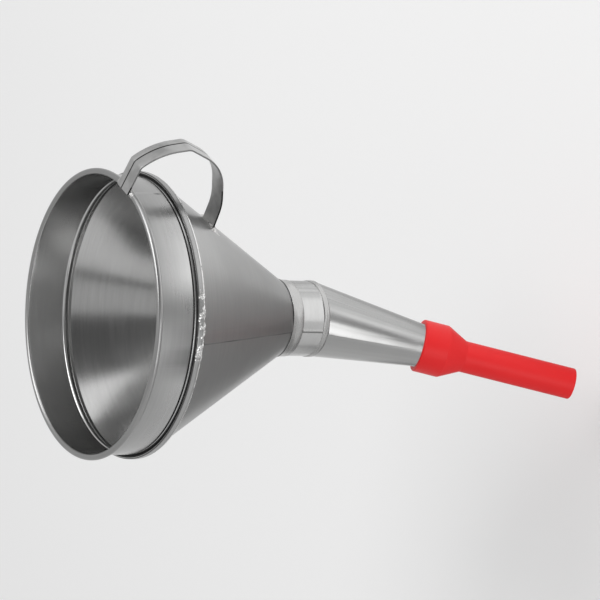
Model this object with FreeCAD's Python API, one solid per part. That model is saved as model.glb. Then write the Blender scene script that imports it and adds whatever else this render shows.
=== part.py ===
"""Tinplate filling funnel with a wired rim, a soldered strap handle and a bent spout with a push-on plastic tip.

The origin is the centre of the mouth, in the plane of the rim wire's centreline. +Z points out of the
mouth, the handle stands at +Y, and the spout leans away from -Z, towards bend_azimuth. Millimetres.
"""

import FreeCAD, Part
import math
import os

from FreeCAD import Vector

os.makedirs("parts", exist_ok=True)

# Tinplate and fits
sheet = 0.45            # thickness of every tinplate piece
seat = 0.05             # air between pieces that are soldered or folded together
tip_clearance = 0.2     # air between the spout's end and the plastic socket

# Rim and collar
mouth_radius = 76.5     # inside of the collar
curl_radius = 1.75      # outside of the wired curl
curl_turn = 300.0       # degrees the rim edge is rolled round its wire
collar_depth = 24.0     # from the rim wire's plane down to the lock seam's foot on the collar
bead_drop = 1.85        # from the bead's middle down to the lock seam's foot
bead_turn = 50.0        # how steeply the bead's flanks lean, degrees
bead_edge_bend = 0.6    # centreline radius where the bead leaves the wall
bead_crown_bend = 1.3   # centreline radius of the bead's crown

# Lock seam between collar and cone
seam_stand = 2.45       # how far the lock seam stands out from the collar's wall
seam_drop = 2.5         # how far it hangs below its foot
flange_lean = 33.0      # how far its flanges lean up from level, degrees
seam_bend = 0.5         # centreline radius of the fold that rounds the seam's top edge
collar_foot_bend = 0.3
seam_hook_run = 1.3     # length of the collar's edge that is folded up inside the seam
seam_fill_foot = 1.1    # how far the solder fillet runs down the cone below the seam

# Cone
cone_length = 93.0      # from the lock seam's foot down to where the cone meets its spigot
cone_top_drop = 2.4     # from the lock seam's foot down to where the cone starts to narrow
cone_step = 0.275       # how far the cone's upright band stands outside the collar's wall
cone_top_bend = 1.0
cone_neck_bend = 1.5
cone_spigot = 5.0       # length of the cone's spigot inside the neck sleeve

# Neck sleeve
neck_radius = 21.3      # outside of the sleeve
neck_top_gap = 0.5      # from the cone's spigot corner down to the sleeve's top edge
neck_length = 21.5

# Spout
bend_angle = 22.8       # between the cone's axis and the spout's axis, degrees
bend_azimuth = -5.0     # direction that the spout leans to, degrees from +X
bend_drop = 2.0         # from the spout's mouth down to where the two axes meet
spout_spigot = 4.5      # length of the spout's spigot inside the neck sleeve
spout_length = 76.0     # along the spout's axis, from the bend to the spout's end
round_length = 16.0     # length of the spout's round tapered end
round_start_radius = 12.8
round_end_radius = 10.63

# Plastic tip
tip_grip = 13.0         # length of spout held inside the tip's socket
socket_length = 14.7
socket_wall = 2.5       # at the socket's mouth
socket_lip_round = 0.9
shoulder_length = 12.1
tube_length = 66.5
tube_radius = 9.0
tube_wall = 1.9
tube_end_round = 0.6
tip_ledge = 0.5         # air between the spout's end and the ledge it would stop on
ledge_width = 1.5       # how far the ledge stands in front of the spout's end wall

# Handle: a strap with both edges folded over onto its outer face
strap_width = 13.0
strap_thickness = 1.0
hem_share = 0.38        # share of the width that the hem on the far side covers
hem_gap = 0.4
rim_leg_lean = 12.4     # how far the rim leg drops below level, degrees
rim_leg = 15.4          # from where the strap rests on the curl to the leg's corner
rim_leg_bend = 3.0
strap_hook = 1.3        # how far the strap reaches past its rest on the curl, into the mouth
bow_reach = 24.1        # from the rim wire out to the corner of the grip's bowed run
bow_rise = 13.9         # from the lock seam's foot up to that corner
bow_bend = 40.0
grip_reach = 27.9       # from the rim wire out to the grip's far corner
grip_drop = 4.3         # from the lock seam's foot down to that corner
grip_bend = 6.0
heel_reach = 18.4       # the same two measures for the corner where the strap turns back to the cone
heel_drop = 26.6
heel_bend = 25.0
toe_reach = 13.8        # from the strap's foot on the cone out to its last corner
toe_drop = 1.6          # from that foot down to the corner
toe_bend = 30.0
cone_foot_drop = 31.2   # from the lock seam's foot down to the strap's foot on the cone

# Solder
solder_height = 0.35    # how far a solder run stands off the sheet
seam_width = 1.8        # width of a solder run along a lap seam
neck_top_band = 5.0     # length of the soldered band over the sleeve's top edge
neck_end_band = 3.4     # length of the soldered band over the sleeve's lower edge
pad_margin = 2.0        # how far the solder at the handle's feet reaches past the strap
pad_height = 2.2
collar_seam_azimuth = 88.0
cone_seam_top_azimuth = 18.0
cone_seam_neck_azimuth = 7.0
neck_seam_azimuth = 10.0
spout_seam_mouth_azimuth = 10.0   # from the side that the spout leans to
spout_seam_end_azimuth = 17.0

# Worked out from the above
UP = Vector(0, 0, 1)
half_sheet = sheet / 2
layer = sheet + 0.03                              # pitch of folded layers in the lock seam
wall_line = mouth_radius + half_sheet             # centreline of the collar's wall
wall_outside = mouth_radius + sheet
curl_line = curl_radius - half_sheet
rim_radius = mouth_radius + curl_radius           # centreline of the rim wire
wire_radius = curl_radius - sheet - seat
bead_run = 2 * (bead_edge_bend + bead_crown_bend) * math.sin(math.radians(bead_turn))
seam_foot = -collar_depth
bead_start = seam_foot + bead_drop - bead_run / 2
bead_end = bead_start + bead_run
flange_slope = math.tan(math.radians(flange_lean))
flange_foot = seam_foot - half_sheet              # where the collar's flange would meet its wall's centreline
cone_band = wall_line + cone_step                 # centreline of the cone's upright band
seam_skin = wall_outside + seam_stand - half_sheet     # centreline of the seam's outer layer
seam_inner = seam_skin - 2 * layer                # centreline of the hooked-up edge
seam_bottom = seam_foot - seam_drop
hook_centre = seam_bottom + half_sheet + layer
spigot_line = neck_radius - sheet - seat - half_sheet
spigot_outside = spigot_line + half_sheet
cone_top_z = seam_foot - cone_top_drop
cone_neck_z = seam_foot - cone_length
cone_foot_z = seam_foot - cone_foot_drop
cone_slope = math.atan2(cone_band - spigot_line, cone_top_z - cone_neck_z)
neck_top = cone_neck_z - neck_top_gap
neck_end = neck_top - neck_length
spout_mouth_z = neck_end - seat
bend_z = spout_mouth_z - bend_drop
round_start = spout_length - round_length
socket_start = spout_length - tip_grip
socket_end = socket_start + socket_length
tube_start = socket_end + shoulder_length
tube_end = tube_start + tube_length
strap_rest = curl_radius + seat + strap_thickness / 2   # from the rim wire to the strap's middle


def cone_outside(z, clearance=0.0):
    """Radius of the cone's outer face at a height, with an even clearance off the face."""
    centreline = spigot_line + (z - cone_neck_z) * math.tan(cone_slope)
    return centreline + (half_sheet + clearance) / math.cos(cone_slope)


def spout_radius(along):
    """Outer radius of the spout's round tapered end at a distance along the spout's axis."""
    share = (along - round_start) / round_length
    return round_start_radius + share * (round_end_radius - round_start_radius)


def flat(r, z):
    return Vector(r, 0, z)


def handle_route():
    """Corners of the strap's middle line, from the rim to the cone, as (radius, height, bend radius)."""
    lean = math.radians(rim_leg_lean)
    rest_r = rim_radius + strap_rest * math.sin(lean)
    rest_z = strap_rest * math.cos(lean)
    return [
        (rest_r - strap_hook * math.cos(lean), rest_z + strap_hook * math.sin(lean), 0),
        (rest_r + rim_leg * math.cos(lean), rest_z - rim_leg * math.sin(lean), rim_leg_bend),
        (rim_radius + bow_reach, seam_foot + bow_rise, bow_bend),
        (rim_radius + grip_reach, seam_foot - grip_drop, grip_bend),
        (rim_radius + heel_reach, seam_foot - heel_drop, heel_bend),
        (cone_outside(cone_foot_z) + toe_reach, cone_foot_z - toe_drop, toe_bend),
        (cone_outside(cone_foot_z) - 3 * strap_thickness, cone_foot_z, 0),
    ]


def bends(route):
    """A route of (r, z, bend radius) corners as a start, a heading and a list of (run or radius, turn)."""
    start = route[0]
    headings = [math.atan2(b[1] - a[1], b[0] - a[0]) for a, b in zip(route, route[1:])]
    moves = []
    taken = 0.0
    for i, heading in enumerate(headings):
        run = math.hypot(route[i + 1][0] - route[i][0], route[i + 1][1] - route[i][1]) - taken
        taken = 0.0
        if i + 1 < len(headings):
            turn = (headings[i + 1] - heading + math.pi) % (2 * math.pi) - math.pi
            radius = route[i + 1][2]
            taken = radius * math.tan(abs(turn) / 2)
            moves += [(run - taken, 0.0), (radius, math.degrees(turn))]
        else:
            moves.append((run, 0.0))
    return (start[0], start[1]), math.degrees(headings[0]), moves


def beside(start, heading, moves, offset):
    """Edges of the line that runs beside a bent centreline, at an offset to its left."""
    edges = []
    here = flat(*start)
    angle = math.radians(heading)
    for size, turn in moves:
        left = flat(-math.sin(angle), math.cos(angle))
        first = here + left * offset
        if turn == 0:
            here = here + flat(math.cos(angle), math.sin(angle)) * size
            edges.append(Part.LineSegment(first, here + left * offset).toShape())
            continue
        side = math.copysign(1, turn)
        centre = here + left * size * side
        middle_angle = angle + math.radians(turn) / 2
        angle += math.radians(turn)
        middle_left = flat(-math.sin(middle_angle), math.cos(middle_angle))
        left = flat(-math.sin(angle), math.cos(angle))
        here = centre - left * size * side
        middle = centre - middle_left * (size * side - offset)
        edges.append(Part.Arc(first, middle, here + left * offset).toShape())
    return edges


def strip_face(start, heading, moves, low=-half_sheet, high=half_sheet):
    """Section of bent sheet, between two offsets from its centreline."""
    near = beside(start, heading, moves, low)
    far = beside(start, heading, moves, high)
    ends = [
        Part.LineSegment(near[0].firstVertex().Point, far[0].firstVertex().Point).toShape(),
        Part.LineSegment(near[-1].lastVertex().Point, far[-1].lastVertex().Point).toShape(),
    ]
    return Part.Face(Part.Wire(Part.__sortEdges__(near + far + ends)))


def rounded_face(corners):
    """A closed section from (r, z, corner radius) points."""
    count = len(corners)
    edges = []
    tangents = []
    for i, (r, z, radius) in enumerate(corners):
        here = flat(r, z)
        before = (flat(*corners[i - 1][:2]) - here).normalize()
        after = (flat(*corners[(i + 1) % count][:2]) - here).normalize()
        if radius == 0:
            tangents.append((here, here))
            continue
        half = before.getAngle(after) / 2
        reach = radius / math.tan(half)
        inwards = (before + after).normalize()
        middle = here + inwards * (radius / math.sin(half) - radius)
        tangents.append((here + before * reach, here + after * reach))
        edges.append(Part.Arc(tangents[-1][0], middle, tangents[-1][1]).toShape())
    for i in range(count):
        edges.append(Part.LineSegment(tangents[i - 1][1], tangents[i][0]).toShape())
    return Part.Face(Part.Wire(Part.__sortEdges__(edges)))


def spin(face):
    return face.revolve(Vector(0, 0, 0), UP, 360)


def turned(shape, azimuth):
    return shape.rotated(Vector(0, 0, 0), UP, azimuth)


def along_spout(shape):
    """Moves a shape from the axis -Z, measured down from zero, to the spout's leaning axis."""
    leaning = shape.rotated(Vector(0, 0, 0), Vector(0, 1, 0), -bend_angle)
    return turned(leaning.translated(Vector(0, 0, bend_z)), bend_azimuth)


def around(azimuth, r, z):
    angle = math.radians(azimuth)
    return Vector(r * math.cos(angle), r * math.sin(angle), z)


def bar(start, end, outwards, width, low, high):
    """A straight run of solder from start to end, between two heights above the line."""
    run = (end - start).normalize()
    across = run.cross(outwards).normalize()
    up = across.cross(run)
    half = width / 2
    ring = [
        start + across * half + up * low,
        start + across * half + up * high * 0.4,
        start + across * half * 0.5 + up * high,
        start - across * half * 0.5 + up * high,
        start - across * half + up * high * 0.4,
        start - across * half + up * low,
    ]
    return Part.Face(Part.makePolygon(ring + ring[:1])).extrude(end - start)


def rim_wire():
    return Part.makeTorus(rim_radius, wire_radius)


def collar():
    """Rolled band: edge hooked up inside the lock seam, flange, swaged bead, wall and wired curl."""
    fold = 90 + flange_lean
    skin_taken = seam_bend * math.tan(math.radians(fold / 2))
    foot_taken = collar_foot_bend * math.tan(math.radians(fold / 2))
    rise = flange_foot + (seam_skin - wall_line) * flange_slope - skin_taken - hook_centre
    flange = (seam_skin - wall_line) / math.cos(math.radians(flange_lean)) - skin_taken - foot_taken
    below_bead = bead_start - (flange_foot + foot_taken)
    moves = [
        (seam_hook_run, 0),
        (layer, 180),
        (rise, 0),
        (seam_bend, fold),
        (flange, 0),
        (collar_foot_bend, -fold),
        (below_bead, 0),
        (bead_edge_bend, bead_turn),
        (bead_crown_bend, -2 * bead_turn),
        (bead_edge_bend, bead_turn),
        (-bead_end, 0),
        (curl_line, -curl_turn),
    ]
    return spin(strip_face((seam_inner, hook_centre + seam_hook_run), -90, moves))


def cone():
    """Cone with a spigot for the neck sleeve and an edge flanged into the lock seam."""
    flange_drop = layer / math.cos(math.radians(flange_lean))
    flange_start = flange_foot + cone_step * flange_slope - flange_drop
    flange_end = flange_foot + (seam_skin - layer - wall_line) * flange_slope - flange_drop
    route = [
        (spigot_line, cone_neck_z - cone_spigot, 0),
        (spigot_line, cone_neck_z, cone_neck_bend),
        (cone_band, cone_top_z, cone_top_bend),
        (cone_band, flange_start, 0.3),
        (seam_skin - layer, flange_end, 0.3),
        (seam_skin - layer, hook_centre + 0.05, 0),
    ]
    return spin(strip_face(*bends(route)))


def cone_keep_out(clearance):
    """Solid that fills the cone and stands a clearance off its outer face."""
    top = cone_top_z
    return spin(rounded_face([
        (0, cone_neck_z, 0),
        (cone_outside(cone_neck_z, clearance), cone_neck_z, 0),
        (cone_outside(top, clearance), top, 0),
        (0, top, 0),
    ]))


def seam_solder():
    """Solder run into the underside of the lock seam, with a fillet down onto the cone."""
    foot = cone_top_z - seam_fill_foot
    hook_in = seam_inner - half_sheet - seat
    bottom = seam_bottom - seat
    band_face = cone_band + half_sheet + seat
    corners = [
        (band_face, cone_top_z + 1.0, 0),
        (hook_in, cone_top_z + 1.0, 0),
        (hook_in, bottom, 0),
        (hook_in + 0.5, bottom, 0),
        (hook_in + 0.5, bottom - 0.3, 0),
        (cone_outside(foot, seat) + 0.35, foot + 0.05, 0),
        (cone_outside(foot, seat), foot, 0),
        (band_face, cone_top_z, 0),
    ]
    return spin(rounded_face(corners)).cut(cone_keep_out(seat))


def neck_sleeve():
    tube = Part.makeCylinder(neck_radius, neck_length, Vector(0, 0, neck_end))
    return tube.cut(Part.makeCylinder(neck_radius - sheet, neck_length, Vector(0, 0, neck_end)))


def neck_cone_solder():
    """Soldered band over the sleeve's top edge, feathered out up the cone."""
    top = neck_top + 2.2
    edge = cone_neck_z + 0.3
    inside = neck_radius + seat
    return spin(rounded_face([
        (cone_outside(top, seat), top, 0),
        (cone_outside(top, seat) + 0.2, top - 0.2, 0),
        (neck_radius + 0.45, neck_top - 0.3, 0.6),
        (inside + solder_height, neck_top - neck_top_band + 0.4, 0),
        (inside, neck_top - neck_top_band, 0),
        (inside, neck_top + seat, 0),
        (spigot_outside + 0.2, neck_top + seat, 0),
        (cone_outside(edge, 0.1), edge, 0),
    ]))


def spout_taper(wide_radius, narrow_radius):
    """Solid between the level circle at the spout's mouth and the square circle where its round end starts."""
    mouth = Part.makeCircle(wide_radius, Vector(0, 0, spout_mouth_z), UP)
    end = Part.makeCircle(narrow_radius, Vector(0, 0, -round_start), UP)
    leaning = end.rotated(Vector(0, 0, 0), Vector(0, 1, 0), -bend_angle).translated(Vector(0, 0, bend_z))
    return turned(Part.makeLoft([Part.Wire(mouth), Part.Wire(leaning)], True, True), bend_azimuth)


def spout_body(spigot_radius, wide_radius, inset):
    """The spout's outer or inner form: spigot, oblique taper and round tapered end."""
    spigot = Part.makeCylinder(spigot_radius, spout_spigot, Vector(0, 0, spout_mouth_z))
    end = along_spout(spin(rounded_face([
        (0, -round_start, 0),
        (round_start_radius - inset, -round_start, 0),
        (round_end_radius - inset, -spout_length, 0),
        (0, -spout_length, 0),
    ])))
    return spout_taper(wide_radius, round_start_radius - inset).fuse([spigot, end])


def spout():
    """Tapered spout, joggled in at its mouth to a spigot that sits inside the neck sleeve."""
    outside = spout_body(spigot_outside, neck_radius, 0)
    inside = spout_body(spigot_outside - sheet, spigot_outside - sheet, sheet)
    return outside.cut(inside).removeSplitter()


def spout_neck_solder():
    """Soldered band over the joint between the sleeve and the spout."""
    top = neck_end + neck_end_band
    inside = neck_radius + seat
    foot = spout_mouth_z - 0.4
    ring = spin(rounded_face([
        (inside, top, 0),
        (inside + solder_height, top - 0.4, 0),
        (inside + solder_height, foot + 0.3, 0),
        (inside, foot, 0),
    ]))
    return ring.cut(spout_taper(neck_radius + seat, round_start_radius + seat))


def collar_side_seam():
    top = around(collar_seam_azimuth, wall_outside, -curl_radius - 0.3)
    foot = around(collar_seam_azimuth, wall_outside, bead_end + 0.6)
    run = bar(top, foot, around(collar_seam_azimuth, 1, 0), seam_width, -1, solder_height)
    return run.cut(Part.makeCylinder(wall_outside + seat, collar_depth, Vector(0, 0, seam_foot)))


def cone_side_seam():
    """Solder along the edge of the cone's lap, which runs beside a straight line of the cone."""
    top_z = cone_top_z - seam_fill_foot - 0.6
    neck_z = neck_top + 2.9
    top = around(cone_seam_top_azimuth, cone_outside(top_z), top_z)
    foot = around(cone_seam_neck_azimuth, cone_outside(neck_z), neck_z)
    middle_azimuth = (cone_seam_top_azimuth + cone_seam_neck_azimuth) / 2
    run = bar(top, foot, around(middle_azimuth, 1, 0), seam_width, -1, solder_height)
    return run.cut(cone_keep_out(seat))


def neck_side_seam():
    top = around(neck_seam_azimuth, neck_radius, neck_top - neck_top_band - 0.3)
    foot = around(neck_seam_azimuth, neck_radius, neck_end + neck_end_band + 0.3)
    run = bar(top, foot, around(neck_seam_azimuth, 1, 0), seam_width, -1, solder_height)
    return run.cut(Part.makeCylinder(neck_radius + seat, neck_length, Vector(0, 0, neck_end)))


def spout_side_seam():
    """Solder along the edge of the spout's lap, from under the neck's band to the plastic socket."""
    mouth = around(spout_seam_mouth_azimuth, neck_radius, spout_mouth_z)
    tilt = FreeCAD.Rotation(Vector(0, 1, 0), -bend_angle)
    end = tilt.multVec(around(spout_seam_end_azimuth, round_start_radius, -round_start))
    end = end + Vector(0, 0, bend_z)
    run = (end - mouth).normalize()
    outwards = around(spout_seam_end_azimuth, 1, 0)
    body = bar(mouth + run, end - run * 2, outwards, seam_width, -1, solder_height)
    return turned(body, bend_azimuth).cut(spout_taper(neck_radius + seat, round_start_radius + seat))


def strap(low, high, first, last):
    """One layer of the strap, between two heights and two places across its width."""
    start, heading, moves = bends(handle_route())
    layer_face = strip_face(start, heading, moves, low, high)
    solid = layer_face.extrude(Vector(0, last - first, 0)).translated(Vector(0, first, 0))
    return turned(solid, 90)


def strap_block(clearance):
    half_width = strap_width / 2 + clearance
    half_thickness = strap_thickness / 2 + clearance
    return strap(-half_thickness, half_thickness, -half_width, half_width)


def handle():
    """Strap handle with two hems folded onto its outer face, soldered to the rim and to the cone."""
    half_width = strap_width / 2
    half_thickness = strap_thickness / 2
    meeting = half_width - hem_share * strap_width
    far_hem = strap(0, half_thickness, meeting + hem_gap / 2, half_width)
    near_hem = strap(0, half_thickness, -half_width, meeting - hem_gap / 2)
    body = strap(-half_thickness, 0, -half_width, half_width).fuse([far_hem, near_hem])
    return body.cut(cone_keep_out(seat)).removeSplitter()


def handle_rim_solder():
    """Solder pad over the curl, holding the handle's rim foot."""
    pad = Part.makeTorus(rim_radius, curl_radius + 0.9)
    pad = pad.cut(Part.makeTorus(rim_radius, curl_radius + seat))
    reach = strap_width / 2 + pad_margin
    window = Part.makeBox(2 * reach, 2 * pad_height, 6, Vector(-reach, rim_radius - 0.6, -1.2))
    return pad.common(window).cut(strap_block(seat))


def handle_cone_solder():
    """Solder fillet round the handle's cone foot."""
    foot_z = cone_foot_z
    on_cone = cone_outside(foot_z)
    half_width = strap_width / 2
    half_thickness = strap_thickness / 2

    def frame_at(y, margin):
        x = half_width + margin
        low = foot_z - half_thickness - margin
        high = foot_z + half_thickness + margin
        ring = [Vector(-x, y, low), Vector(x, y, low), Vector(x, y, high), Vector(-x, y, high)]
        return Part.makePolygon(ring + ring[:1])

    fillet = Part.makeLoft([frame_at(on_cone - 4, 4.4), frame_at(on_cone + pad_height, 0.5)], True, True)
    return fillet.cut(cone_keep_out(seat)).cut(strap_block(seat))


def pour_tip():
    """Push-on plastic tip: socket over the spout's end, shoulder and straight tube."""
    bore_mouth = spout_radius(socket_start) + tip_clearance
    bore_end = round_end_radius + tip_clearance
    socket_radius = bore_mouth + socket_wall
    tube_bore = tube_radius - tube_wall
    ledge = spout_length + tip_ledge
    return along_spout(spin(rounded_face([
        (bore_mouth, -socket_start, 0.4),
        (socket_radius, -socket_start, socket_lip_round),
        (socket_radius, -socket_end, 0.8),
        (tube_radius, -tube_start, 2.0),
        (tube_radius, -tube_end, tube_end_round),
        (tube_bore, -tube_end, 0.4),
        (tube_bore, -tube_start, 1.0),
        (bore_end - ledge_width, -ledge, 0.3),
        (bore_end, -ledge, 0),
    ])))


pieces = {
    "rim_wire": rim_wire,
    "collar": collar,
    "collar_side_seam": collar_side_seam,
    "cone": cone,
    "cone_side_seam": cone_side_seam,
    "seam_solder": seam_solder,
    "neck_sleeve": neck_sleeve,
    "neck_side_seam": neck_side_seam,
    "neck_cone_solder": neck_cone_solder,
    "spout": spout,
    "spout_side_seam": spout_side_seam,
    "spout_neck_solder": spout_neck_solder,
    "handle": handle,
    "handle_rim_solder": handle_rim_solder,
    "handle_cone_solder": handle_cone_solder,
    "pour_tip": pour_tip,
}
for name, make in pieces.items():
    shape = make()
    solids = shape.Solids
    print(f"{name:20s} solids {len(solids)} valid {shape.isValid()} volume {shape.Volume:9.1f} mm3")
    Part.makeCompound(solids).exportStep(f"parts/{name}.step")
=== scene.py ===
"""A tinplate filling funnel, made in the order a tinsmith puts it together."""

import math

import bmesh
import bpy
from mathutils import Matrix, Vector, noise


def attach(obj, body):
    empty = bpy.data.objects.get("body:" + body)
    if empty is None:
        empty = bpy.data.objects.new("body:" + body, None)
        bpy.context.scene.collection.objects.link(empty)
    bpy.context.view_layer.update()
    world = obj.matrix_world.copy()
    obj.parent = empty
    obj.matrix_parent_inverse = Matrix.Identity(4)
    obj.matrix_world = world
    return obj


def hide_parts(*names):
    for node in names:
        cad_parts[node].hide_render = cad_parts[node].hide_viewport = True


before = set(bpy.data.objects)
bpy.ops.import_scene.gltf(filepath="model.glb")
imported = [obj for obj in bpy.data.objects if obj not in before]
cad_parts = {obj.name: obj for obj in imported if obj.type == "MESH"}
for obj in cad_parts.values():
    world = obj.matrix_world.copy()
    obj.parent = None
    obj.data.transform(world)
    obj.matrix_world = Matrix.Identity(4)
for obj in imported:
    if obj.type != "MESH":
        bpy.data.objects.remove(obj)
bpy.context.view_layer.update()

# The camera looks down into the mouth from the side the spout leans to, and is rolled so that the
# funnel lies on its side across the view.
camera = bpy.data.objects.new("camera", bpy.data.cameras.new("camera"))
camera.data.lens = 216
camera.data.sensor_width = 36
camera.data.clip_start = 0.1
camera.data.clip_end = 20
camera_right = Vector((0.43245, 0.26996, -0.86030))
camera_up = Vector((-0.49990, 0.86584, 0.02042))
camera_back = Vector((0.75040, 0.42123, 0.50939))
camera.matrix_world = Matrix((camera_right, camera_up, camera_back)).transposed().to_4x4()
camera.matrix_world.translation = (1.52281, 0.86673, 0.90510)
bpy.context.scene.collection.objects.link(camera)
bpy.context.scene.camera = camera


# Collar: a band of tinplate rolled into a ring. Its top edge is curled round a wire, a bead is swaged
# into it near the foot, and its lower edge is folded over the cone's flange into a lock seam.
MM = 0.001


class Signal:
    """One output in a node tree. Arithmetic on it adds Math nodes."""

    def __init__(self, bench, socket):
        self.bench = bench
        self.socket = socket

    def maths(self, operation, *values):
        return self.bench.node("ShaderNodeMath", {"operation": operation}, dict(enumerate(values)))

    def __getitem__(self, name):
        return Signal(self.bench, self.socket.node.outputs[name])

    def __add__(self, other):
        return self.maths("ADD", self, other)

    __radd__ = __add__

    def __sub__(self, other):
        return self.maths("SUBTRACT", self, other)

    def __rsub__(self, other):
        return self.maths("SUBTRACT", other, self)

    def __mul__(self, other):
        return self.maths("MULTIPLY", self, other)

    __rmul__ = __mul__

    def __abs__(self):
        return self.maths("ABSOLUTE", self)


class Bench:
    """A node tree being put together."""

    def __init__(self, tree):
        self.tree = tree
        tree.nodes.clear()

    def node(self, kind, settings=None, sockets=None):
        """Adds a node: its settings first, then the value or link of each named or numbered socket."""
        made = self.tree.nodes.new(kind)
        for name, value in (settings or {}).items():
            if name == "stops":
                ramp = made.color_ramp
                for _ in value[2:]:
                    ramp.elements.new(0.5)
                for stop, (place, shade) in zip(ramp.elements, value):
                    stop.position = place
                    stop.color = (shade, shade, shade, 1) if isinstance(shade, float) else (*shade, 1)
            else:
                setattr(made, name, value)
        for name, value in (sockets or {}).items():
            if isinstance(name, int):
                slot = made.inputs[name]
            else:
                slot = next(s for s in made.inputs if s.enabled and s.name == name)
            if isinstance(value, Signal):
                self.tree.links.new(value.socket, slot)
            else:
                slot.default_value = value
        shown = [s for s in made.outputs if s.enabled]
        return Signal(self, shown[0]) if shown else None

    def mix(self, share, first, second):
        """Blends two colours by a share from 0 to 1."""
        return self.node("ShaderNodeMix", {"data_type": "RGBA"}, {"Factor": share, "A": first, "B": second})

    def vector(self, operation, *values):
        sockets = {i: value for i, value in enumerate(values) if value is not None}
        made = self.node("ShaderNodeVectorMath", {"operation": operation}, sockets)
        return made["Value"] if operation == "DOT_PRODUCT" else made["Vector"]

    def scaled(self, direction, size):
        return self.node("ShaderNodeVectorMath", {"operation": "SCALE"}, {0: direction, "Scale": size})

    def speckle(self, place, scale, detail=2.0, roughness=0.5):
        """Noise from about 0.2 to 0.8."""
        sockets = {"Vector": place, "Scale": scale, "Detail": detail, "Roughness": roughness}
        return self.node("ShaderNodeTexNoise", {}, sockets)

    def spread(self, value, low, high, to_low=0.0, to_high=1.0):
        """Carries a value from one range to another, and holds it at the ends."""
        settings = {"clamp": True, "interpolation_type": "SMOOTHSTEP"}
        sockets = {"Value": value, "From Min": low, "From Max": high, "To Min": to_low, "To Max": to_high}
        return self.node("ShaderNodeMapRange", settings, sockets)


def new_material(name):
    material = bpy.data.materials.new(name)
    material.use_nodes = True
    return material, Bench(material.node_tree)


def turned_place(bench, centre, axis, round_scale, along_scale):
    """Coordinates on a turned piece that stretch a pattern round its axis or along it, with no join."""
    from_centre = bench.vector("SUBTRACT", bench.node("ShaderNodeTexCoord")["Object"], centre)
    along = bench.vector("DOT_PRODUCT", from_centre, axis)
    sideways = bench.vector("NORMALIZE", bench.vector("SUBTRACT", from_centre, bench.scaled(axis, along)))
    return bench.vector("ADD", bench.scaled(sideways, round_scale), bench.scaled(axis, along * along_scale))


def tinplate(name, tone, dullness, grain_bump=0.04, centre=(0, 0, 0), axis=(0, 0, 1), round_scale=2.0,
             along_scale=900.0):
    """Rolled tinplate: satin tin over steel, with faint rolling grain and soft cloudy patches. Where the
    marks on its points say so, the colour goes towards black and the metal gets rougher: painted shade in
    grooves, folds, the curl and on sides the light misses, and dark lines along laps."""
    material, bench = new_material(name)
    place = bench.node("ShaderNodeTexCoord")["Object"]
    grain = bench.speckle(turned_place(bench, centre, axis, round_scale, along_scale), 1.0, 3.0, 0.6)
    clouds = bench.speckle(place, 24.0, 3.0, 0.5)
    rubbed = bench.spread(clouds, 0.40, 0.70)
    darker, lighter, patch = ((*(share * c for c in tone), 1) for share in (0.965, 1.035, 0.86))
    colour = bench.mix(bench.spread(grain, 0.3, 0.7), darker, lighter)
    colour = bench.mix(rubbed * 0.5, colour, patch)
    # Painted shade: the points' marks darken the colour towards black.
    dull = bench.node("ShaderNodeAttribute", {"attribute_name": "dull"})["Fac"]
    colour = bench.mix(dull, colour, (0.03, 0.03, 0.03, 1))
    rough = dullness + 0.06 * (grain - 0.5) + 0.05 * rubbed + 0.25 * dull
    waves = bench.speckle(place, 16.0, 1.0, 0.4)
    bump = bench.node("ShaderNodeBump", {}, {"Strength": grain_bump, "Distance": 0.0001, "Height": grain})
    bump = bench.node("ShaderNodeBump", {}, {
        "Strength": 0.2, "Distance": 0.0008, "Height": waves, "Normal": bump})
    shader = bench.node("ShaderNodeBsdfPrincipled", {}, {
        "Base Color": colour, "Metallic": 1.0, "Roughness": rough, "Normal": bump})
    bench.node("ShaderNodeOutputMaterial", {}, {"Surface": shader})
    return material


def walk(start, heading, moves, offset, step=9.0):
    """Points (r, z) in millimetres beside a bent centreline. A move is (run, 0) or (bend radius, turn)."""
    r, z = start
    angle = math.radians(heading)
    points = [(r - math.sin(angle) * offset, z + math.cos(angle) * offset)]
    for size, turn in moves:
        if turn == 0:
            r += math.cos(angle) * size
            z += math.sin(angle) * size
            points.append((r - math.sin(angle) * offset, z + math.cos(angle) * offset))
            continue
        side = math.copysign(1, turn)
        centre = (r - math.sin(angle) * size * side, z + math.cos(angle) * size * side)
        count = max(2, math.ceil(abs(turn) / step))
        for i in range(count):
            angle += math.radians(turn) / count
            r = centre[0] + math.sin(angle) * size * side
            z = centre[1] - math.cos(angle) * size * side
            points.append((r - math.sin(angle) * offset, z + math.cos(angle) * offset))
    return points


def sheet_section(start, heading, moves, thickness):
    """Closed outline of a bent sheet, between the two sides of its centreline."""
    left = walk(start, heading, moves, thickness / 2)
    right = walk(start, heading, moves, -thickness / 2)
    return left + right[::-1]


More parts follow.
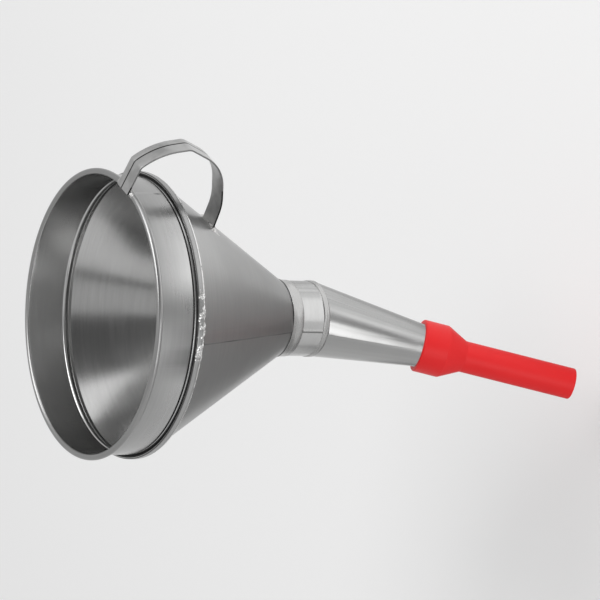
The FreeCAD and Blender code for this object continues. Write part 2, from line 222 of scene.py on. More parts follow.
def spinning_tree():
    """Node tree that sweeps a section round a ring, then lumps it where it is told to."""
    tree = bpy.data.node_groups.new("spun section", "GeometryNodeTree")
    bench = Bench(tree)
    inputs = (
        ("Section", "Geometry"), ("Ring radius", "Float"), ("Steps", "Int"), ("Lump height", "Float"),
        ("Lump scale", "Float"), ("Heavy side", "Vector"), ("Heavy only", "Float"), ("Seed", "Float"),
        ("Material", "Material"),
    )
    for name, kind in inputs:
        tree.interface.new_socket(name, in_out="INPUT", socket_type="NodeSocket" + kind)
    tree.interface.new_socket("Geometry", in_out="OUTPUT", socket_type="NodeSocketGeometry")
    given = bench.node("NodeGroupInput")
    outline = bench.node("GeometryNodeMeshToCurve", {}, {"Mesh": given["Section"]})
    ring = bench.node("GeometryNodeCurvePrimitiveCircle", {}, {
        "Resolution": given["Steps"], "Radius": given["Ring radius"]})
    spun = bench.node("GeometryNodeCurveToMesh", {}, {"Curve": ring, "Profile Curve": outline})
    place = bench.node("GeometryNodeInputPosition")
    normal = bench.node("GeometryNodeInputNormal")
    flat_place = bench.vector("NORMALIZE", bench.vector("MULTIPLY", place, (1, 1, 0)))
    facing = bench.vector("DOT_PRODUCT", flat_place, given["Heavy side"])
    share = bench.spread(facing, 0.95, 0.99)
    outer_side = bench.spread(bench.vector("DOT_PRODUCT", flat_place, normal), 0.0, 0.3)
    weight = (1 - given["Heavy only"] * (1 - share)) * outer_side
    moved = bench.vector("ADD", place, bench.node("ShaderNodeCombineXYZ", {}, {"X": given["Seed"]}))
    lumps = bench.speckle(moved, given["Lump scale"], 2.0, 0.5)
    rise = (lumps - 0.42) * given["Lump height"] * weight
    lumped = bench.node("GeometryNodeSetPosition", {}, {
        "Geometry": spun, "Offset": bench.scaled(normal, rise)})
    solid = bench.node("GeometryNodeRealizeInstances", {}, {"Geometry": lumped})
    painted = bench.node("GeometryNodeSetMaterial", {}, {"Geometry": solid, "Material": given["Material"]})
    bench.node("NodeGroupOutput", {}, {"Geometry": painted})
    return tree


def settle(piece, crease=40.0):
    """Turns a piece and its node tree into a closed mesh with rounded shading, and outward normals."""
    shown = piece.evaluated_get(bpy.context.evaluated_depsgraph_get())
    mesh = bpy.data.meshes.new_from_object(shown)
    piece.modifiers.clear()
    piece.data = mesh
    tidy = bmesh.new()
    tidy.from_mesh(mesh)
    bmesh.ops.remove_doubles(tidy, verts=tidy.verts, dist=1e-7)
    bmesh.ops.recalc_face_normals(tidy, faces=tidy.faces)
    tidy.to_mesh(mesh)
    tidy.free()
    mesh.shade_smooth()
    mesh.set_sharp_from_angle(angle=math.radians(crease))
    return piece


def new_piece(name, points, edges, faces, material=None):
    mesh = bpy.data.meshes.new(name)
    mesh.from_pydata(points, edges, faces)
    piece = bpy.data.objects.new(name, mesh)
    bpy.context.scene.collection.objects.link(piece)
    if material:
        mesh.materials.append(material)
    return piece


spun_section = spinning_tree()


def mark(piece, dull):
    """Gives each point of a piece how dark and rough it is, from 0 to 1: mostly painted shade, and some dark
    lines along laps.
    """
    marks = piece.data.attributes.new("dull", "FLOAT", "POINT")
    marks.data.foreach_set("value", dull)


def set_inputs(worker, values):
    """Gives a modifier's node tree its named values."""
    for socket in worker.node_group.interface.items_tree:
        if socket.in_out == "INPUT" and socket.name in values:
            worker[socket.identifier] = values[socket.name]


def lumpy(height, scale, seed, heavy_side=(1.0, 0.0, 0.0), heavy_only=0.0):
    """Lumps up to about a third of a height in millimetres, all round or gathered on a heavy side."""
    return {"Lump height": height * MM, "Lump scale": scale, "Seed": seed, "Heavy side": heavy_side,
            "Heavy only": heavy_only}


def spin(name, section, material, steps=256, lumps=None, dull=None):
    """A ring-shaped piece from its section, given as (r, z) points in millimetres."""
    ring = section[0][0]
    points = [((r - ring) * MM, -z * MM, 0) for r, z in section]
    loop = [(i, (i + 1) % len(points)) for i in range(len(points))]
    piece = new_piece(name, points, loop, [])
    mark(piece, dull or [0.0] * len(points))
    worker = piece.modifiers.new("spin", "NODES")
    worker.node_group = spun_section
    sizes = {"Ring radius": ring * MM, "Steps": steps, "Material": material}
    set_inputs(worker, sizes | (lumps or lumpy(0.0, 300.0, 0.0)))
    return settle(piece)


def shade_round(piece, rule):
    """Adds painted shade to a turned piece's points, or takes it away for a painted highlight, by the angle
    round its axis and by r and z in millimetres.
    """
    marks = piece.data.attributes["dull"].data
    for point, dull in zip(piece.data.vertices, marks):
        x, y, z = point.co / MM
        added = rule(math.degrees(math.atan2(y, x)), math.hypot(x, y), z)
        dull.value = min(1.0, max(0.0, dull.value + added))


def hump(value, low, high, edge):
    """1 between low and high, falling to 0 over the edge's width on either side."""
    rise = min(1.0, max(0.0, (value - low) / edge + 1), max(0.0, (high - value) / edge + 1))
    return rise * rise * (3 - 2 * rise)


def fit(piece, slot, *nodes, body="funnel"):
    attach(piece, body)
    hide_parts(*nodes)


sheet = 0.45
layer = sheet + 0.03
mouth_radius = 76.5
wall_outside = mouth_radius + sheet
curl_radius = 1.75
rim_line = mouth_radius + curl_radius
seam_line = 79.175
seam_outside = seam_line + sheet / 2
seam_flat = 0.32
seam_slant = 57
seam_foot = -25.8
turned_edge = -24.495
groove_top = -22.85
wall_foot = -22.4
turned_in = [(1.3, 0), (layer, 180)]
seam_wall = [(seam_flat, 0)] * 7
seam_top = [(0.5, 180 - seam_slant), (1.448, 0), (0.3, seam_slant - 180), (0.067, 0)]
bead = [(0.6, 50), (1.3, -50), (1.3, -50), (0.6, 50)]
collar_wall = [(0.3, 0), (19.494, 0), (0.9, 0)]
curl = [(curl_radius - sheet / 2, -300)]
collar_moves = turned_in + seam_wall + seam_top + bead + collar_wall + curl
# Painted shade in lines up the lock seam's outside, one share for each flat step.
seam_shade_lines = [0.35, 0.7, 0.15, 0.6, 0.1, 0.65, 0.15, 0.5]


def collar_shade(r, z, outside):
    """Painted shade: darker on the curl, near black in the groove over the lock seam, in lines up the seam's
    outside, and a little darker over the outside wall.
    """
    if math.hypot(r - rim_line, z) < curl_radius + 0.05 and r > mouth_radius + 0.1:
        return 0.42
    if not outside:
        return 0.0
    if r > seam_outside - 0.2:
        line = round((z - seam_foot) / seam_flat)
        return seam_shade_lines[min(len(seam_shade_lines) - 1, max(0, line))]
    if z < groove_top:
        return 0.93
    return 0.25 if z > wall_foot else 0.0


collar_metal = tinplate("tinplate_collar", (0.58, 0.58, 0.577), 0.20, 0.025)
collar_outline = sheet_section((seam_line - 2 * layer, turned_edge), -90, collar_moves, sheet)
collar = spin("collar_band", collar_outline, collar_metal, 300, dull=[
    collar_shade(r, z, i >= len(collar_outline) // 2) for i, (r, z) in enumerate(collar_outline)])


def collar_side_light(angle, r, z):
    """Painted light on the outside wall by the angle round it: painted shade over a band on the side the
    spout leans to, darker in a patch within it, and a painted highlight further round.
    """
    if r < mouth_radius + 0.2 or z < wall_foot + 0.1 or z > -1.8:
        return 0.0
    dark_patch = 0.16 * hump(angle, 11.0, 15.0, 3.0) * hump(z, -19.0, -8.0, 4.0)
    return 0.34 * hump(angle, 11.0, 22.0, 11.0) + dark_patch - 0.16 * hump(angle, 44.0, 58.0, 10.0)


shade_round(collar, collar_side_light)
fit(collar, "tinplate_collar", "collar")

# Rim wire: drawn steel wire, bent into a ring and rolled into the collar's curl. It is seen only at
# the curl's mouth, and keeps its plain round shape.
wire_metal, bench = new_material("drawn_wire")
wire_place = bench.node("ShaderNodeTexCoord")["Object"]
wire_grain = bench.speckle(bench.vector("MULTIPLY", wire_place, (60.0, 60.0, 2500.0)), 1.0, 2.0)
wire_shader = bench.node("ShaderNodeBsdfPrincipled", {}, {
    "Base Color": bench.mix(wire_grain, (0.30, 0.29, 0.28, 1), (0.48, 0.47, 0.46, 1)),
    "Metallic": 1.0, "Roughness": 0.3 + 0.2 * wire_grain})
bench.node("ShaderNodeOutputMaterial", {}, {"Surface": wire_shader})
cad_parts["rim_wire"].data.materials.clear()
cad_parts["rim_wire"].data.materials.append(wire_metal)

# Cone: a sheet rolled up and lapped, with a flange that hooks into the lock seam and a short
# spigot that enters the neck sleeve.
spigot_line = 20.575
spigot_foot = -122.0
cone_foot = -117.0
cone_top = -26.4
cone_top_line = 77.0
neck_bend = 1.5
top_bend = 1.0
cone_lean = math.atan2(cone_top_line - spigot_line, cone_top - cone_foot)
lean_degrees = math.degrees(cone_lean)
cone_run = math.hypot(cone_top_line - spigot_line, cone_top - cone_foot)
neck_taken = neck_bend * math.tan(cone_lean / 2)
top_taken = top_bend * math.tan(cone_lean / 2)
cone_moves = [
    (cone_foot - spigot_foot - neck_taken, 0), (neck_bend, -lean_degrees),
    (cone_run - neck_taken - top_taken, 0), (top_bend, lean_degrees),
    (1.332, 0), (0.3, -seam_slant), (1.306, 0), (0.3, seam_slant - 180), (1.674, 0),
]
cone_metal = tinplate("tinplate_cone", (0.46, 0.46, 0.457), 0.21, 0.025)
cone_outline = sheet_section((spigot_line, spigot_foot), 90, cone_moves, sheet)
# Painted shade: the cone's outside is darker than its inside.
cone = spin("cone_shell", cone_outline, cone_metal, 300, dull=[
    0.32 if i >= len(cone_outline) // 2 else 0.0 for i in range(len(cone_outline))])
fit(cone, "tinplate_cone", "cone")


# Solder in the lock seam: soft solder run in from below with an iron, all round the funnel. It is
# smooth on most of the ring, and left in bright lumps on the side where the run ends.
def solder(name, tone, dullness):
    """Soft solder: dull grey, darker and rougher in blotches laid by noise, on the same noise that raises
    its bumps.
    """
    material, bench = new_material(name)
    place = bench.node("ShaderNodeTexCoord")["Object"]
    blotches = bench.speckle(place, 260.0, 3.0, 0.6)
    fine = bench.speckle(place, 1400.0, 2.0, 0.5)
    dark_blotches = bench.spread(blotches, 0.55, 0.64)
    colour = bench.mix(dark_blotches, (*tone, 1), (*(0.45 * c for c in tone), 1))
    height = blotches + 0.4 * fine
    bump = bench.node("ShaderNodeBump", {}, {"Strength": 0.5, "Distance": 0.0004, "Height": height})
    shader = bench.node("ShaderNodeBsdfPrincipled", {}, {
        "Base Color": colour, "Metallic": 1.0, "Roughness": dullness + 0.25 * dark_blotches, "Normal": bump})
    bench.node("ShaderNodeOutputMaterial", {}, {"Surface": shader})
    return material


bright_solder = solder("bright_solder", (0.64, 0.637, 0.63), 0.2)
skin_over_seam = [(79.18, -23.4)] + [(79.22, z) for z in (-23.8, -24.3, -24.8, -25.3, -25.8)]
round_seam_foot = [(79.2, -26.3), (79.1, -26.75), (78.7, -27.1), (78.0, -27.45)]
out_over_cone = [(77.0, -27.95), (76.2, -28.45), (75.6, -29.0), (75.25, -29.5)]
back_under = [
    (75.4, -28.9), (76.4, -27.4), (76.9, -26.6), (77.8, -26.2), (78.6, -26.2), (79.0, -25.8), (79.0, -23.6)]
seam_section = skin_over_seam + round_seam_foot + out_over_cone + back_under
seam_run = spin("lock_seam_solder", seam_section, bright_solder, 1200,
                lumps=lumpy(2.6, 360.0, 3.1, heavy_side=(0.9063, 0.4226, 0.0), heavy_only=0.95))
fit(seam_run, "solder", "seam_solder")

# Neck sleeve: a short straight tube of tinplate, rolled and lapped. It is pushed over the cone's
# spigot and soldered round its top edge.
neck_metal = tinplate("tinplate_neck", (0.47, 0.47, 0.467), 0.2)
neck_radius = 21.3
neck_inside = neck_radius - sheet
neck_top = -117.5
neck_foot = -139.0
edge_round = 0.1
sleeve_section = [
    (neck_inside, neck_foot + edge_round), (neck_inside + edge_round, neck_foot),
    (neck_radius - edge_round, neck_foot), (neck_radius, neck_foot + edge_round),
    (neck_radius, neck_top - edge_round), (neck_radius - edge_round, neck_top),
    (neck_inside + edge_round, neck_top), (neck_inside, neck_top - edge_round)]
sleeve = spin("neck_tube", sleeve_section, neck_metal)
# Painted shade over one side of the sleeve, from about 68 to 150 degrees round, varied by noise.
shade_round(sleeve, lambda angle, r, z: (
    0.26 * hump(angle, 68.0, 150.0, 12.0) * (1 + 0.8 * noise.noise((angle / 5, 0, 0)))))
fit(sleeve, "tinplate_neck", "neck_sleeve")

# Solder band over the sleeve's top edge: soft solder, wiped smooth round the neck while it was hot
# and feathered out up the cone.
wiped_metal = tinplate("wiped_solder", (0.40, 0.399, 0.395), 0.27, 0.12, round_scale=6.0, along_scale=1500.0)
cone_band = spin("neck_top_solder", [
    (22.2, -115.3), (22.35, -115.5), (21.95, -117.2), (21.8, -118.0), (21.68, -119.5), (21.62, -122.0),
    (21.35, -122.5), (neck_radius, -122.4), (neck_radius, neck_top), (20.9, -117.2), (21.6, -116.2)],
    wiped_metal, 400, lumps=lumpy(0.22, 160.0, 7.7))
fit(cone_band, "solder", "neck_cone_solder")

# Spout: a tapered tube, cut slantwise at its mouth so that it leans, with a joggled edge inside the
# sleeve and a round end that the plastic tip is pushed onto.
bend_height = -141.05
bend = math.radians(22.8)
lean_side = math.radians(-5.0)
bend_place = Vector((0, 0, bend_height * MM))
spout_axis = Vector((
    math.sin(bend) * math.cos(lean_side), math.sin(bend) * math.sin(lean_side), -math.cos(bend)))
spout_turn = Matrix.Rotation(lean_side, 4, "Z") @ Matrix.Rotation(-bend, 4, "Y")
spout_place = Matrix.Translation(bend_place) @ spout_turn
spout_metal = tinplate(
    "tinplate_spout", (0.43, 0.43, 0.427), 0.19, centre=tuple(bend_place), axis=tuple(spout_axis),
    round_scale=70.0, along_scale=14.0)


def spout_ring(radius, along, steps):
    """A square ring round the spout's axis, at a distance from the bend."""
    return [spout_place @ Vector((radius * math.cos(a) * MM, radius * math.sin(a) * MM, -along * MM))
            for a in (2 * math.pi * i / steps for i in range(steps))]


def level_ring(radius, z, steps):
    """A level ring round the funnel's axis, started where the spout leans to."""
    return [Vector((radius * math.cos(a) * MM, radius * math.sin(a) * MM, z * MM))
            for a in (2 * math.pi * i / steps + lean_side for i in range(steps))]


def blend_rings(first, second, share):
    return [a.lerp(b, share) for a, b in zip(first, second)]


def lofted(name, rings, material):
    """A closed tube wall through a list of rings. The last ring joins the first."""
    steps = len(rings[0])
    points = [p for ring in rings for p in ring]
    faces = []
    for i in range(len(rings)):
        a = i * steps
        b = (i + 1) % len(rings) * steps
        faces += [(a + j, a + (j + 1) % steps, b + (j + 1) % steps, b + j) for j in range(steps)]
    return settle(new_piece(name, points, [], faces, material))


steps = 160
spout_foot = -139.05
spout_inside = 19.9
joggle_top = -134.55
taper_rings = 24
round_start = 60
round_length = 16
round_radius = 12.8
round_taper = 2.17
round_rings = 6
mouth_out = level_ring(neck_radius, spout_foot, steps)
mouth_in = level_ring(spout_inside, spout_foot, steps)
start_out = spout_ring(round_radius, round_start, steps)
start_in = spout_ring(round_radius - sheet, round_start, steps)


def round_end(radius, i):
    """A ring of the round end, which tapers towards the tip."""
    along = round_start + round_length * i / round_rings
    return spout_ring(radius - round_taper * i / round_rings, along, steps)


outer = [blend_rings(mouth_out, start_out, i / taper_rings) for i in range(taper_rings + 1)]
outer += [round_end(round_radius, i) for i in range(1, round_rings + 1)]
inner = [round_end(round_radius - sheet, i) for i in range(round_rings, 0, -1)]
inner += [blend_rings(mouth_in, start_in, i / taper_rings) for i in range(taper_rings, -1, -1)]
spigot = [
    level_ring(spout_inside, joggle_top, steps), level_ring(20.35, joggle_top, steps),
    level_ring(20.8, spout_foot + edge_round, steps)]
spout = lofted("spout_tube", spigot + outer + inner, spout_metal)
mark(spout, [0.0] * len(spout.data.vertices))


def spout_marks_and_shade(angle, r, z):
    """Rolling marks along the tube, stronger on the handle's side, where painted shade also lies over the
    tube.
    """
    streak = noise.noise((angle / 4, 0, 2)) + 0.6 * noise.noise((angle / 1.7, z / 60, 5))
    return 0.02 + 0.06 * streak + (0.24 + 0.12 * streak) * hump(angle, 62.0, 150.0, 14.0)


spout.data.transform(spout_place.inverted())
shade_round(spout, spout_marks_and_shade)
spout.data.transform(spout_place)
fit(spout, "tinplate_spout", "spout")

# Solder band over the joint between the sleeve and the spout: soft solder, wiped round with the
# same iron, narrower than the band above it.
end_band = spin("neck_end_solder", [
    (neck_radius, -135.5), (21.55, -135.8), (21.68, -136.3), (21.5, -137.0), (21.68, -137.8), (21.7, -138.8),
    (21.4, -139.35), (neck_radius, -139.3), (21.28, -137.0)],
    wiped_metal, 400, lumps=lumpy(0.16, 200.0, 1.9))
fit(end_band, "solder", "spout_neck_solder")


# Side seams of the collar, cone, sleeve and spout: one edge of each rolled sheet laps over the other
# and is soldered down. Each is a skin that stands proud at the lap and feathers out over the sheet.
def draped(name, surface, lift, material, along=80, across=10, dull=lambda u, v: 0.0):
    """A closed skin laid on a surface. surface and lift take two shares, along and across the run."""
    tops = []
    soles = []
    marks = []
    for i in range(along + 1):
        for j in range(across + 1):
            marks.append(dull(i / along, j / across))
            point, normal = surface(i / along, j / across)
            tops.append(point + normal * lift(i / along, j / across) * MM)
            soles.append(point - normal * 0.2 * MM)
    rows = across + 1
    count = len(tops)
    faces = []
    for i in range(along):
        for j in range(across):
            a = i * rows + j
            faces.append((a, a + 1, a + rows + 1, a + rows))
            faces.append((count + a, count + a + rows, count + a + rows + 1, count + a + 1))
    for i in range(along):
        for j in (0, across):
            a = i * rows + j
            faces.append((a, a + rows, count + a + rows, count + a))
    for j in range(across):
        for i in (0, along):
            a = i * rows + j
            faces.append((a, a + 1, count + a + 1, count + a))
    piece = new_piece(name, tops + soles, [], faces, material)
    mark(piece, marks + marks)
    return settle(piece, 60)


def at(azimuth, r, z):
    angle = math.radians(azimuth)
    return Vector((r * math.cos(angle), r * math.sin(angle), z)) * MM


def cone_radius(z):
    """The cone's outside radius at a height, in millimetres."""
    return spigot_line + sheet / 2 / math.cos(cone_lean) + (z - cone_foot) * math.tan(cone_lean)


def cone_normal(azimuth):
    level_part = math.cos(cone_lean)
    return Vector((math.cos(azimuth) * level_part, math.sin(azimuth) * level_part, -math.sin(cone_lean)))


cone_lap_width = 7.0
cone_lap_edge = 5.6
cone_lap_side = math.radians(22.0)
cone_lap_top = -28.6
cone_lap_foot = -115.0


def cone_lap_surface(u, v):
    z = cone_lap_top + u * (cone_lap_foot - cone_lap_top)
    r = cone_radius(z)
    azimuth = cone_lap_side - (cone_lap_edge - v * cone_lap_width) / r
    return Vector((r * math.cos(azimuth), r * math.sin(azimuth), z)) * MM, cone_normal(azimuth)


def lap_line(u, v):
    """A dark line along a lap's edge, stronger in some places than in others, over the same painted shade as
    the cone's outside.
    """
    line = (0.75 + 0.9 * noise.noise(Vector((u * 5, 0, 4)))) * max(0.0, 1 - abs(v - 0.05) / 0.07)
    return 0.32 + 0.5 * max(0.0, line)


cone_lap = draped("cone_lap", cone_lap_surface,
                  lambda u, v: 0.35 * (1 - v) * min(1.0, v / 0.06), cone_metal, 90, 50, lap_line)
fit(cone_lap, "tinplate_cone", "cone_side_seam")


def wall_strip(side, width, radius, top, length):
    """The surface of a strip down a round wall, with its side and width given in degrees."""
    def surface(u, v):
        azimuth = side + (v - 0.5) * width
        return at(azimuth, radius, top - u * length), at(azimuth, 1, 0).normalized()

    return surface


def collar_lap_lift(u, v):
    return 0.12 * math.sin(math.pi * v) * min(1, 8 * u, 8 * (1 - u)) * (
        0.8 + 0.4 * noise.noise(Vector((u * 9, v * 2, 1))))


def collar_lap_dark_patch(u, v):
    """A darker patch near the lap's foot, over about the painted shade of the collar's outside wall."""
    return 0.3 + 0.6 * max(0.0, 1 - abs(u - 0.85) / 0.16) * max(0.0, 1 - abs(v - 0.5) / 0.4)


collar_lap = draped("collar_lap_solder", wall_strip(88, 1.8, wall_outside, -2.1, 18.0), collar_lap_lift,
                    collar_metal, dull=collar_lap_dark_patch)
fit(collar_lap, "solder", "collar_side_seam")

neck_lap = draped("neck_lap_solder", wall_strip(10, 5.5, neck_radius, -122.6, 12.8),
                  lambda u, v: 0.3 * math.sin(math.pi * v), wiped_metal,
                  dull=lambda u, v: 0.8 * max(0.0, 1 - abs(v - 0.25) / 0.22))
fit(neck_lap, "solder", "neck_side_seam")


def spout_lap_surface(u, v):
    mouth_angle = math.radians(10.0) + v * 0.30
    end_angle = math.radians(17.0) + v * 0.42
    mouth = at(math.degrees(mouth_angle + lean_side), neck_radius, spout_foot)
    edge = Vector((round_radius * math.cos(end_angle), round_radius * math.sin(end_angle), -round_start))
    point = mouth.lerp(spout_place @ (edge * MM), 0.01 + 0.99 * u)
    centre = bend_place + spout_axis * (point - bend_place).dot(spout_axis)
    return point, (point - centre).normalized()


spout_lap = draped("spout_lap", spout_lap_surface,
                   lambda u, v: 0.3 * (1 - v) * min(1.0, v / 0.04), spout_metal, 60, 50)
fit(spout_lap, "tinplate_spout", "spout_side_seam")

# Handle: a strap with both edges folded over onto its outer face, so that the hems meet in a line.
# It hooks over the rim, bows outwards as a grip and comes back to the cone.
strap_route = [
    (77.47, 2.53, 0), (93.79, -1.06, 3), (102.35, -10.1, 40), (106.15, -28.3, 6), (96.65, -50.6, 25),
    (73.13, -56.8, 30), (59.15, -55.47, 0)]
strap_half_width = 6.5
hem_meeting = -1.56
strap_metal, bench = new_material("tinplate_strap")
strap_place = bench.node("ShaderNodeTexCoord")["Object"]
strap_grain = bench.speckle(bench.vector("MULTIPLY", strap_place, (1500.0, 60.0, 60.0)), 1.0, 2.0)
strap_clouds = bench.speckle(strap_place, 90.0, 3.0, 0.6)
strap_colour = bench.mix(
    bench.spread(strap_clouds, 0.4, 0.65), (0.48, 0.48, 0.477, 1), (0.38, 0.38, 0.377, 1))
# Painted shade: dark lines in the gap where the hems meet and along the strap's sides, and a painted shadow
# along its near side at the rim end, where it hooks over the curl.
strap_spot = bench.node("ShaderNodeSeparateXYZ", {}, {"Vector": strap_place})
strap_x = strap_spot["X"] * 1000
hem = bench.node("ShaderNodeAttribute", {"attribute_name": "hem"})["Fac"]
hem_gap_shade = bench.spread(abs(strap_x - hem_meeting), 0.7, 0.35) * hem
edge_shade = bench.spread(abs(strap_x), strap_half_width - 0.3, strap_half_width)
strap_shade_lines = hem_gap_shade * 0.85 + edge_shade * 0.5
near_side = bench.spread(strap_x, strap_half_width - 0.3, strap_half_width - 0.05)
near_end_shadow = near_side * bench.spread(strap_spot["Y"] * 1000, 82.5, 81.5)
strap_colour = bench.mix(strap_shade_lines + near_end_shadow * 0.9, strap_colour, (0.03, 0.03, 0.03, 1))
strap_bump = bench.node("ShaderNodeBump", {}, {"Strength": 0.15, "Distance": 0.0001, "Height": strap_grain})
strap_shader = bench.node("ShaderNodeBsdfPrincipled", {}, {
    "Base Color": strap_colour, "Metallic": 1.0,
    "Roughness": 0.26 + 0.12 * strap_clouds, "Normal": strap_bump})
bench.node("ShaderNodeOutputMaterial", {}, {"Surface": strap_shader})


def strap_tree():
    """Node tree that rounds a route's corners and sweeps a strap's section along it."""
    tree = bpy.data.node_groups.new("bent strap", "GeometryNodeTree")
    bench = Bench(tree)
    inputs = (("Route", "Geometry"), ("Half width", "Float"), ("Thickness", "Float"), ("Far hem", "Float"),
              ("Hem gap", "Float"), ("Material", "Material"))
    for name, kind in inputs:
        tree.interface.new_socket(name, in_out="INPUT", socket_type="NodeSocket" + kind)
    tree.interface.new_socket("Geometry", in_out="OUTPUT", socket_type="NodeSocketGeometry")
    given = bench.node("NodeGroupInput")
    route = bench.node("GeometryNodeMeshToCurve", {}, {"Mesh": given["Route"]})
    bend_radius = bench.node("GeometryNodeInputNamedAttribute", {"data_type": "FLOAT"}, {"Name": "bend"})
    rounded = bench.node("GeometryNodeFilletCurve", {"mode": "POLY"}, {
        "Curve": route, "Count": 24, "Radius": bend_radius, "Limit Radius": False})

    def layer(left, right, low, high):
        """One layer of the strap as a rectangle with its edges rounded over."""
        width = right - left
        middle = (left + right) * 0.5
        shape = bench.node("GeometryNodeCurvePrimitiveQuadrilateral", {}, {
            "Width": width, "Height": high - low})
        shift = bench.node("ShaderNodeCombineXYZ", {}, {"X": middle, "Y": (low + high) * 0.5})
        placed = bench.node("GeometryNodeTransform", {}, {"Geometry": shape, "Translation": shift})
        softened = bench.node("GeometryNodeFilletCurve", {"mode": "POLY"}, {
            "Curve": placed, "Count": 5, "Radius": (high - low) * 0.45, "Limit Radius": True})
        return bench.node("GeometryNodeCurveToMesh", {}, {
            "Curve": rounded, "Profile Curve": softened, "Fill Caps": True})

    half = given["Half width"]
    thick = given["Thickness"]
    meeting = given["Far hem"]
    gap = given["Hem gap"] * 0.5
    base = layer(half * -1, half, thick * -0.04, thick * 0.5)
    near_hem = layer(meeting + gap, half, thick * -0.5, thick * 0.04)
    far_hem = layer(half * -1, meeting - gap, thick * -0.5, thick * 0.04)
    joined = bench.node("GeometryNodeJoinGeometry", {}, {"Geometry": base})
    for hem in (near_hem, far_hem):
        marked = bench.node("GeometryNodeStoreNamedAttribute", {"data_type": "FLOAT", "domain": "POINT"}, {
            "Geometry": hem, "Name": "hem", "Value": 1.0})
        tree.links.new(marked.socket, joined.socket.node.inputs["Geometry"])
    solid = bench.node("GeometryNodeRealizeInstances", {}, {"Geometry": joined})
    painted = bench.node("GeometryNodeSetMaterial", {}, {"Geometry": solid, "Material": given["Material"]})
    bench.node("NodeGroupOutput", {}, {"Geometry": painted})
    return tree


strap_points = [(0, r * MM, z * MM) for r, z, _ in strap_route]
strap = new_piece("handle_strap", strap_points, [(i, i + 1) for i in range(len(strap_route) - 1)], [])
radii = strap.data.attributes.new("bend", "FLOAT", "POINT")
for i, (_, _, radius) in enumerate(strap_route):
    radii.data[i].value = radius * MM
bender = strap.modifiers.new("bend", "NODES")
bender.node_group = strap_tree()
set_inputs(bender, {
    "Half width": strap_half_width * MM, "Thickness": 1.0 * MM, "Far hem": hem_meeting * MM,
    "Hem gap": 0.4 * MM, "Material": strap_metal})
settle(strap)
fit(strap, "tinplate_strap", "handle")


# Solder at the handle's feet: a pad run over the rim's curl under the strap, and a fillet where the
# strap's far end meets the cone.
solder_metal = solder("soft_solder", (0.52, 0.517, 0.51), 0.28)


def rim_pad_surface(u, v):
    x = (u - 0.5) * 19.0
    turn = math.radians(150 - v * 130)
    azimuth = math.pi / 2 - x / rim_line
    outwards = Vector((math.cos(azimuth), math.sin(azimuth), 0))
    normal = outwards * math.cos(turn) + Vector((0, 0, math.sin(turn)))
    return (outwards * rim_line + normal * curl_radius) * MM, normal


def pad_lift(u, v):
    edge = math.sin(math.pi * u) ** 0.5 * math.sin(math.pi * v) ** 0.5
    return edge * (0.55 + 0.5 * noise.fractal(Vector((u * 7, v * 4, 2.2)), 1.0, 2.0, 3)) - 0.03


rim_pad = draped("rim_solder", rim_pad_surface, pad_lift, solder_metal, 60, 30)
fit(rim_pad, "solder", "handle_rim_solder")


def cone_pad_surface(u, v):
    x = (u - 0.5) * 21.0
    z = -55.3 + (0.5 - v) * 9.0
    r = cone_radius(z)
    azimuth = math.pi / 2 - x / r
    return Vector((r * math.cos(azimuth), r * math.sin(azimuth), z)) * MM, cone_normal(azimuth)


def cone_pad_lift(u, v):
    edge = max(0.0, 1 - (2 * abs(u - 0.5)) ** 3) * max(0.0, 1 - (2 * abs(v - 0.5)) ** 2)
    ridge = max(0.0, 1 - abs(v - 0.5) * 4) ** 2 * max(0.0, 1 - (2.1 * abs(u - 0.5)) ** 8)
    lumps = noise.fractal(Vector((u * 9, v * 4, 8.8)), 1.0, 2.0, 3)
    return edge * 0.4 + 1.5 * ridge + 0.25 * edge * lumps - 0.03


cone_pad = draped("cone_foot_solder", cone_pad_surface, cone_pad_lift, solder_metal, 60, 30)
fit(cone_pad, "solder", "handle_cone_solder")

# Pouring tip: moulded in red polyethylene, with a socket that grips the spout, a conical shoulder and
# a straight tube. Its red is kept out of the metal's reflections, which stay neutral.
tip_plastic, bench = new_material("red_plastic")
tip_place = bench.node("ShaderNodeTexCoord")["Object"]
tip_clouds = bench.speckle(tip_place, 60.0, 3.0, 0.55)
tip_fine = bench.speckle(tip_place, 900.0, 2.0, 0.5)
tip_colour = bench.mix(tip_clouds, (0.72, 0.010, 0.012, 1), (0.77, 0.014, 0.016, 1))
tip_bump = bench.node("ShaderNodeBump", {}, {"Strength": 0.12, "Distance": 0.0002, "Height": tip_fine})
tip_shader = bench.node("ShaderNodeBsdfPrincipled", {}, {
    "Base Color": tip_colour, "Roughness": 0.36 + 0.12 * tip_clouds, "Normal": tip_bump,
    "Specular IOR Level": 0.3, "Subsurface Weight": 0.15, "Subsurface Radius": (0.004, 0.001, 0.0008),
    "Subsurface Scale": 1.0})
bench.node("ShaderNodeOutputMaterial", {}, {"Surface": tip_shader})


def rounded(corners, step=10.0):
    """A closed outline from (r, z, corner radius) points, in millimetres."""
    points = []
    for i, (r, z, radius) in enumerate(corners):
        here = Vector((r, z))
        if radius == 0:
            points.append((r, z))
            continue
        before = (Vector(corners[i - 1][:2]) - here).normalized()
        after = (Vector(corners[(i + 1) % len(corners)][:2]) - here).normalized()
        half = before.angle(after) / 2
        centre = here + (before + after).normalized() * (radius / math.sin(half))
        first = here + before * (radius / math.tan(half)) - centre
        last = here + after * (radius / math.tan(half)) - centre
        sweep = first.angle_signed(last)
        count = max(3, math.ceil(abs(math.degrees(sweep)) / step))
        for j in range(count + 1):
            spoke = first.copy()
            spoke.rotate(Matrix.Rotation(-sweep * j / count, 2))
            points.append(tuple(centre + spoke))
    return points


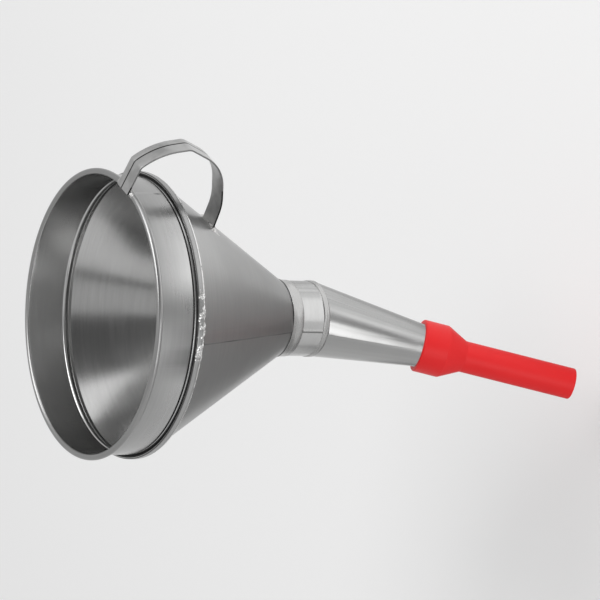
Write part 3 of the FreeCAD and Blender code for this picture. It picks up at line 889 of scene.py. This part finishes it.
tip_grip = 13.0
socket_mouth = tip_grip - round_start - round_length
socket_foot = socket_mouth - 14.7
tube_top = socket_foot - 12.1
tube_end = tube_top - 66.5
socket_ledge = -round_start - round_length - 0.5
socket_bore = 12.59
socket_radius = socket_bore + 2.5
ledge_bore = 9.33
tube_radius = 9.0
tube_bore = 7.1
tip_section = rounded([
    (socket_bore, socket_mouth, 0.4), (socket_radius, socket_mouth, 0.9), (socket_radius, socket_foot, 0.8),
    (tube_radius, tube_top, 2.0), (tube_radius, tube_end, 0.6), (tube_bore, tube_end, 0.4),
    (tube_bore, tube_top, 1.0), (ledge_bore, socket_ledge, 0.3), (ledge_bore + 1.5, socket_ledge, 0)])
tip = spin("pouring_tip", tip_section, tip_plastic, 160)
tip.data.transform(spout_place)
fit(tip, "red_plastic", "pour_tip", body="tip")
tip.visible_glossy = False

# Floor: a plain pale sheet under the funnel, matt, and low enough for the tip to be pulled clear of
# the spout above it.
floor_paint, bench = new_material("pale_floor")
floor_shader = bench.node("ShaderNodeBsdfPrincipled", {}, {
    "Base Color": (0.86, 0.86, 0.86, 1), "Roughness": 0.9})
bench.node("ShaderNodeOutputMaterial", {}, {"Surface": floor_shader})
floor_height = -0.319
floor_corners = [(x, y, floor_height) for x, y in ((-4, -4), (4, -4), (4, 4), (-4, 4))]
floor = new_piece("floor", floor_corners, [], [(0, 1, 2, 3)], floor_paint)


# Light: plain soft boxes round the funnel. The large key box is above and behind, and the small ones
# put the bright bands on the metal's sides.
def soft_box(name, place, aim, width, height, power):
    lamp = bpy.data.lights.new(name, "AREA")
    lamp.shape = "RECTANGLE"
    lamp.size = width
    lamp.size_y = height
    lamp.energy = power
    box = bpy.data.objects.new(name, lamp)
    box.matrix_world = (Vector(place) - Vector(aim)).to_track_quat("Z", "Y").to_matrix().to_4x4()
    box.matrix_world.translation = place
    box.visible_camera = False
    bpy.context.scene.collection.objects.link(box)
    return box


soft_box("key_box", (-0.40, 1.15, 1.9), (0, 0, -0.15), 1.7, 1.7, 28)
soft_box("back_box", (-0.48, 1.2, 0.42), (0, 0, -0.05), 0.8, 0.6, 1.15)
soft_box("front_box", (1.20, -0.84, 0.65), (0, 0, -0.05), 1.4, 0.45, 0.55)
soft_box("low_box", (0.03, 0.315, -0.285), (0.03, 0.315, 1), 0.54, 0.42, 0.39)
soft_box("side_box", (0.74, 0.12, -0.12), (0, 0, -0.18), 0.42, 0.3, 0.75)


# Cards: matt grey boards that only the metal's reflections show; they cast no shadow and light nothing, so
# that the bright metal has something dark to reflect. They are painted shade in those reflections: the one
# under the funnel stands for the funnel's shadow on the floor, and the others for darker parts of the room.
def shade_card(name, shade, corners):
    paint, bench = new_material(name)
    shader = bench.node("ShaderNodeBsdfPrincipled", {}, {
        "Base Color": (shade, shade, shade, 1), "Roughness": 0.9})
    bench.node("ShaderNodeOutputMaterial", {}, {"Surface": shader})
    card = new_piece(name, corners, [], [(0, 1, 2, 3)], paint)
    card.visible_camera = False
    card.visible_shadow = False
    card.visible_diffuse = False


def level(height, *corners):
    return [(x, y, height) for x, y in corners]


low_card = -0.288
shade_card("dark_card", 0.13, [
    (0.95, 0.56, 0.20), (0.02, 1.00, 0.20), (0.02, 0.85, 0.90), (0.85, 0.47, 0.90)])
shade_card("narrow_card", 0.03, [
    (1.0, -0.21, 0.2), (1.0, -0.08, 0.2), (0.80, -0.04, 0.75), (0.80, -0.14, 0.75)])
# Painted shadow: this card stands for the funnel's shadow on the floor, seen in the metal's reflections.
shade_card("shadow_card_under", 0.47, level(
    low_card, (-0.06, -0.27), (0.15, -0.27), (0.13, 0.05), (-0.03, 0.10)))
shade_card("grey_card_beside", 0.17, level(
    low_card, (0.32, 0.36), (0.40, -0.12), (0.56, -0.12), (0.60, 0.42)))
shade_card("small_dark_card", 0.08, level(
    low_card + MM, (0.44, -0.12), (0.56, -0.12), (0.56, -0.05), (0.44, -0.05)))

# Room: even white light from all round, at a little over half strength, with the picture's tones
# kept plain.
world = bpy.data.worlds.new("room")
bpy.context.scene.world = world
world.use_nodes = True
bench = Bench(world.node_tree)
room = bench.node("ShaderNodeBackground", {}, {"Color": (1, 1, 1, 1), "Strength": 0.62})
bench.node("ShaderNodeOutputWorld", {}, {"Surface": room})
bpy.context.scene.view_settings.view_transform = "Standard"
